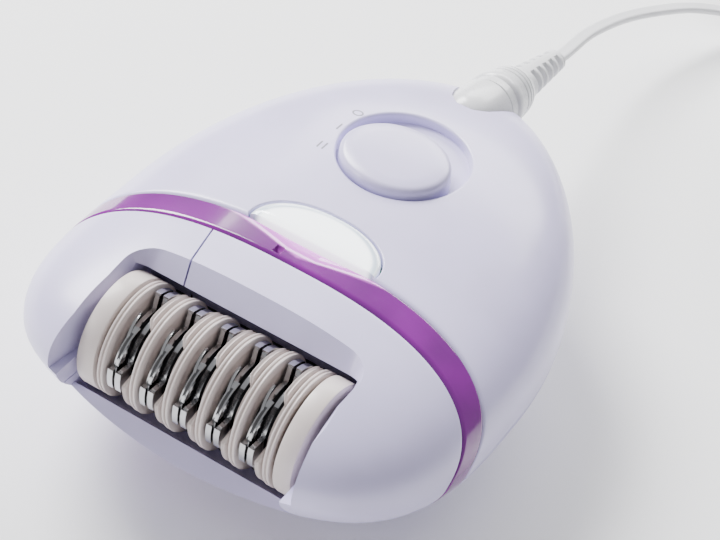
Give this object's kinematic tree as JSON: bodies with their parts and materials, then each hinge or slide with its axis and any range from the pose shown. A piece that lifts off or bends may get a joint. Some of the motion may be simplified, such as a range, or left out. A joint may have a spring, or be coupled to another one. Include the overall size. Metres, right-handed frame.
{
  "type": "epilator",
  "caption": "Corded compact epilator: egg-shaped handle, tweezer drum in a lift-off head, light lens, slide switch and low-voltage lead with adapter.",
  "frame": {"origin": "bottom centre of the epilator's own box, on the surface its flattened back rests on, without the lead and adapter", "axes": "+X along the drum axis to the gear side, +Y from the head to the lead, +Z out through the switch face"},
  "size_m": [0.107, 0.2213, 0.0333],
  "materials": {
    "lavender_shell": "satin gloss moulding",
    "violet_trim": "high gloss translucent moulding",
    "clear_lens": "clear moulding",
    "beige_moulding": "satin moulding",
    "tweezer_steel": "bright",
    "brass_bush": "turned",
    "nylon_gear": "natural moulding",
    "circuit_board": "solder mask",
    "black_plastic": "moulded",
    "motor_casing": "drawn and plated",
    "lead_grey": "soft satin",
    "led": "clear epoxy"
  },
  "bodies": {
    "handle": {"front_shell": "lavender_shell", "rear_shell": "lavender_shell", "trim_band": "violet_trim", "deck_plate": "black_plastic", "light_lens": "clear_lens", "light_emitter": "led", "circuit_board": "circuit_board", "motor_can": "motor_casing", "gear_bracket": "motor_casing", "gear_axle": "tweezer_steel", "inlet_socket": "black_plastic", "shell_screw_1": "tweezer_steel", "shell_screw_2": "tweezer_steel", "appliance_plug": "lead_grey", "strain_relief": "lead_grey", "cord_run": "lead_grey", "cord_coil": "lead_grey", "cord_tail": "lead_grey", "wall_adapter": "lead_grey", "mains_pin_left": "tweezer_steel", "mains_pin_right": "tweezer_steel"},
    "head": {"head_main_cover": "lavender_shell", "head_left_cover": "lavender_shell", "head_rear_cover": "lavender_shell", "bush_left": "brass_bush", "bush_right": "brass_bush"},
    "drum": {"drum_shaft": "tweezer_steel", "drum_core": "black_plastic", "end_disc_left": "beige_moulding", "end_disc_right": "beige_moulding", "drum_gear": "nylon_gear", "comb_disc_1": "beige_moulding", "comb_disc_2": "beige_moulding", "comb_disc_3": "beige_moulding", "comb_disc_4": "beige_moulding", "comb_disc_5": "beige_moulding", "comb_disc_6": "beige_moulding", "claw_disc_1": "beige_moulding", "claw_disc_2": "beige_moulding", "claw_disc_3": "beige_moulding", "claw_disc_4": "beige_moulding", "claw_disc_5": "beige_moulding", "fixed_plate_1": "tweezer_steel", "fixed_plate_2": "tweezer_steel", "fixed_plate_3": "tweezer_steel", "fixed_plate_4": "tweezer_steel", "fixed_plate_5": "tweezer_steel"},
    "tweezers": {"moving_plate_1": "tweezer_steel", "moving_plate_2": "tweezer_steel", "moving_plate_3": "tweezer_steel", "moving_plate_4": "tweezer_steel", "moving_plate_5": "tweezer_steel", "actuator_rod": "tweezer_steel"},
    "switch": {"switch_button": "lavender_shell", "switch_stem": "black_plastic"},
    "release": {"release_button": "violet_trim"},
    "drive": {"drive_gear": "nylon_gear", "reduction_gear": "nylon_gear"},
    "rotor": {"motor_shaft": "tweezer_steel", "motor_pinion": "brass_bush"}
  },
  "joints": [
    {"name": "head_pull", "type": "slide", "parent": "handle", "child": "head", "axis": [0, -0.9397, 0.342], "range_m": [0, 0.03]},
    {"name": "drum_spin", "type": "hinge", "parent": "head", "child": "drum", "pos_m": [0, -0.03176, 0.0208], "axis": [1, 0, 0], "continuous": true},
    {"name": "tweezer_pinch", "type": "slide", "parent": "drum", "child": "tweezers", "axis": [-1, 0, 0], "range_m": [0, 0.0004], "stiffness_N_per_m": 400},
    {"name": "switch_slide", "type": "slide", "parent": "handle", "child": "switch", "axis": [0, 1, 0], "range_m": [0, 0.005]},
    {"name": "release_press", "type": "slide", "parent": "handle", "child": "release", "axis": [0, 0, 1], "range_m": [0, 0.0015], "stiffness_N_per_m": 600},
    {"name": "drive_spin", "type": "hinge", "parent": "handle", "child": "drive", "pos_m": [0, -0.02152, 0.01707], "axis": [1, 0, 0], "continuous": true},
    {"name": "motor_spin", "type": "hinge", "parent": "handle", "child": "rotor", "pos_m": [0, -0.01196, 0.01539], "axis": [1, 0, 0], "continuous": true}
  ],
  "couplings": [
    {"joint": "drive_spin", "follows": "drum_spin", "ratio": -0.8},
    {"joint": "motor_spin", "follows": "drum_spin", "ratio": 1.3333}
  ]
}
